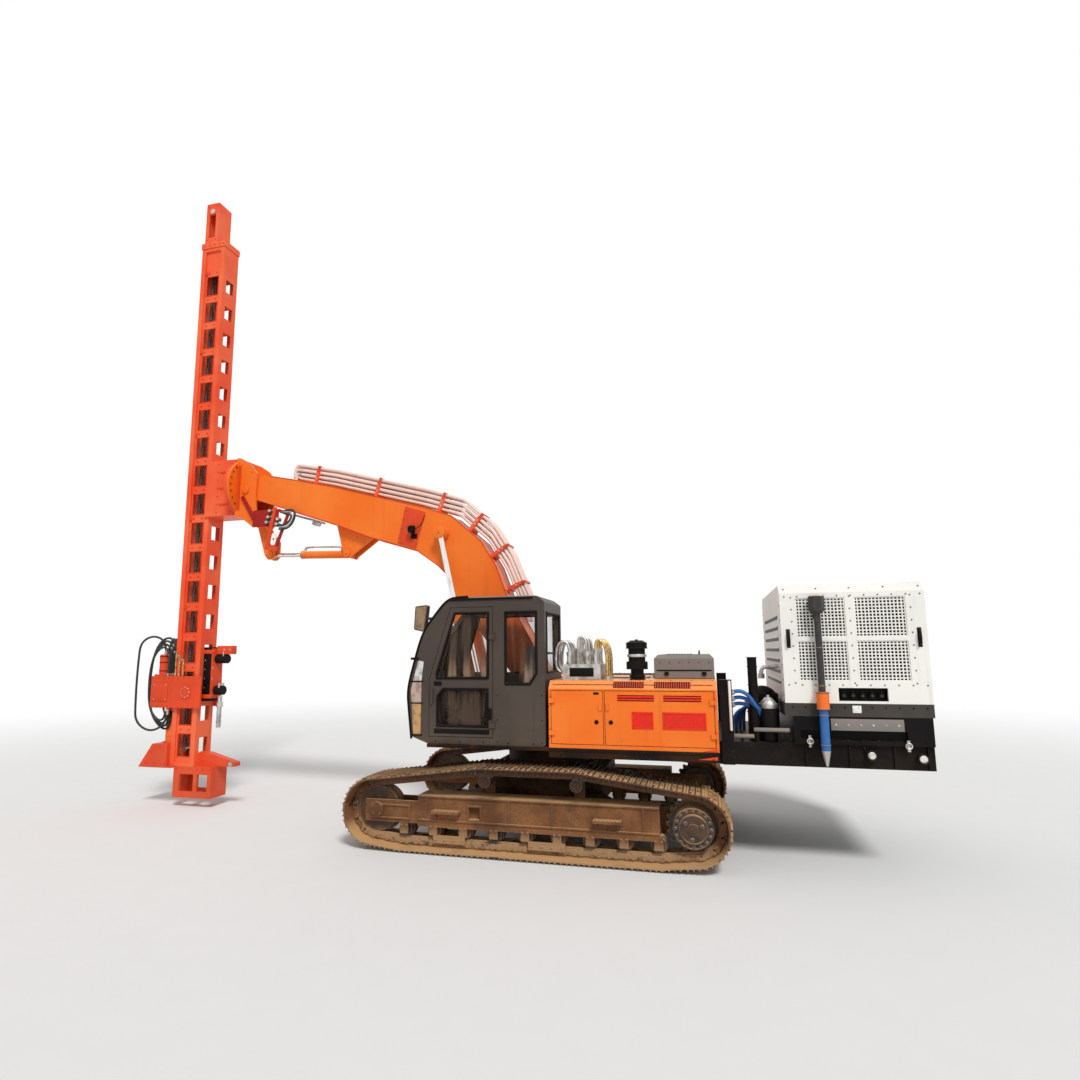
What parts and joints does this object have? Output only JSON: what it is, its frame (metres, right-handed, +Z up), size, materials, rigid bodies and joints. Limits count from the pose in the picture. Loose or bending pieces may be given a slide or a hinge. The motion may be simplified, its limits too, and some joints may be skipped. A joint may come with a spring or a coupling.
{
  "type": "excavator-mounted drill rig",
  "caption": "Tracked excavator whose boom carries a tilting, swinging, sliding drill mast with a rotary head, and a canopied air compressor behind its house.",
  "frame": {"origin": "on the ground, under the middle of the machine's box", "axes": "+X towards the compressor, away from the mast; +Z up; the cab is on the -Y side"},
  "size_m": [10.7989, 2.99, 9.95],
  "materials": {
    "orange_paint": "gloss paint, worn",
    "red_paint": "gloss paint, worn",
    "cab_paint": "satin dark paint",
    "black_paint": "satin black paint",
    "white_paint": "satin white paint",
    "grey_paint": "satin grey paint",
    "track_steel": "worn steel with dried mud",
    "machined_steel": "machined",
    "rod_chrome": "polished",
    "hose_rubber": "matte",
    "window_glass": "clear, faintly tinted",
    "seat_fabric": "woven",
    "pipe_paint": "pale paint over steel"
  },
  "bodies": {
    "undercarriage": {"carbody": "black_paint", "track_frame_left": "track_steel", "track_frame_right": "track_steel", "track_left": "track_steel", "track_right": "track_steel", "idlers": "track_steel", "sprockets": "track_steel", "bottom_rollers": "track_steel", "carrier_rollers": "track_steel"},
    "house": {"deck_frame": "black_paint", "house_shell": "orange_paint", "engine_block": "black_paint", "fuel_tank": "orange_paint", "handrails": "black_paint", "exhaust_stack": "black_paint", "valve_block": "machined_steel", "cab_shell": "cab_paint", "cab_glass": "window_glass", "seat_frame": "black_paint", "seat_cushions": "seat_fabric", "cab_console": "black_paint", "platform_frame": "black_paint", "compressor_base": "grey_paint", "canopy": "white_paint", "grille_panels": "white_paint", "compressor_unit": "black_paint", "separator_tank": "black_paint", "tool_pole": "machined_steel"},
    "cab_door": {"cab_door": "cab_paint", "door_glass": "window_glass"},
    "side_door_front": {"side_door_front": "orange_paint"},
    "side_door_rear": {"side_door_rear": "orange_paint"},
    "side_door_right": {"side_door_right": "orange_paint"},
    "engine_hood": {"engine_hood": "grey_paint"},
    "boom": {"boom": "orange_paint", "boom_pipes": "pipe_paint", "pipe_clamps": "red_paint"},
    "lift_barrels": {"lift_barrels": "orange_paint"},
    "lift_rods": {"lift_rods": "rod_chrome"},
    "tilt_barrel": {"tilt_barrel": "orange_paint"},
    "tilt_rod": {"tilt_rod": "rod_chrome"},
    "tilt_head": {"tilt_head": "orange_paint"},
    "guide": {"swing_flange": "red_paint", "guide_cheeks": "red_paint", "guide_rungs": "red_paint"},
    "mast": {"mast_beam": "red_paint", "mast_top": "red_paint", "mast_foot": "red_paint", "guard_table": "red_paint", "feed_motor": "black_paint"},
    "rotary_head": {"rotary_head": "red_paint", "rotary_plates": "red_paint", "feed_shoes": "machined_steel", "rotary_hose_outer": "hose_rubber", "rotary_hose_inner": "hose_rubber"},
    "spindle": {"spindle": "orange_paint"}
  },
  "joints": [
    {"name": "slew", "type": "hinge", "parent": "undercarriage", "child": "house", "pos_m": [1.115, 0, 1.04], "axis": [0, 0, 1], "continuous": true},
    {"name": "cab_door_swing", "type": "hinge", "parent": "house", "child": "cab_door", "pos_m": [0.742, -1.344, 1.4], "axis": [0, 0, -1], "range_deg": [-160, 0]},
    {"name": "side_door_front_swing", "type": "hinge", "parent": "house", "child": "side_door_front", "pos_m": [1.413, -1.369, 1.5], "axis": [0, 0, -1], "range_deg": [0, 100]},
    {"name": "side_door_rear_swing", "type": "hinge", "parent": "house", "child": "side_door_rear", "pos_m": [3.227, -1.369, 1.5], "axis": [0, 0, 1], "range_deg": [0, 100]},
    {"name": "side_door_right_swing", "type": "hinge", "parent": "house", "child": "side_door_right", "pos_m": [3.227, 1.369, 1.5], "axis": [0, 0, -1], "range_deg": [0, 100]},
    {"name": "hood_lift", "type": "hinge", "parent": "house", "child": "engine_hood", "pos_m": [2.529, 0, 1.97], "axis": [0, -1, 0], "range_deg": [0, 60]},
    {"name": "boom_lift", "type": "hinge", "parent": "house", "child": "boom", "pos_m": [0.965, 0, 1.9], "axis": [0, 1, 0], "range_deg": [-35, 25]},
    {"name": "lift_barrel_swing", "type": "hinge", "parent": "house", "child": "lift_barrels", "pos_m": [0.215, 0, 1.42], "axis": [0, 1, 0], "range_deg": [-33, 24]},
    {"name": "lift_rod_stroke", "type": "slide", "parent": "lift_barrels", "child": "lift_rods", "axis": [-0.228, 0, 0.9737], "range_m": [-0.52, 0.38]},
    {"name": "mast_tilt", "type": "hinge", "parent": "boom", "child": "tilt_head", "pos_m": [-3.665, 0, 4.805], "axis": [0, -1, 0], "range_deg": [-15, 30]},
    {"name": "tilt_barrel_swing", "type": "hinge", "parent": "boom", "child": "tilt_barrel", "pos_m": [-1.945, 0, 3.745], "axis": [0, -1, 0], "range_deg": [-14, 7]},
    {"name": "tilt_rod_stroke", "type": "slide", "parent": "tilt_barrel", "child": "tilt_rod", "axis": [-0.9994, 0, 0.0333], "range_m": [-0.43, 0.22]},
    {"name": "mast_swing", "type": "hinge", "parent": "tilt_head", "child": "guide", "pos_m": [-3.855, 0, 4.88], "axis": [1, 0, 0], "range_deg": [-20, 20]},
    {"name": "mast_slide", "type": "slide", "parent": "guide", "child": "mast", "axis": [0, 0, 1], "range_m": [-0.13, 1]},
    {"name": "rotary_feed", "type": "slide", "parent": "mast", "child": "rotary_head", "axis": [0, 0, 1], "range_m": [0, 7]},
    {"name": "spindle_turn", "type": "hinge", "parent": "rotary_head", "child": "spindle", "pos_m": [-4.985, 0, 1.4], "axis": [0, 0, 1], "continuous": true}
  ],
  "couplings": [
    {"joint": "lift_barrel_swing", "follows": "boom_lift", "ratio": 0.93},
    {"joint": "lift_rod_stroke", "follows": "boom_lift", "m_per_rad": 0.83},
    {"joint": "tilt_barrel_swing", "follows": "mast_tilt", "ratio": -0.45},
    {"joint": "tilt_rod_stroke", "follows": "mast_tilt", "m_per_rad": -0.8}
  ]
}
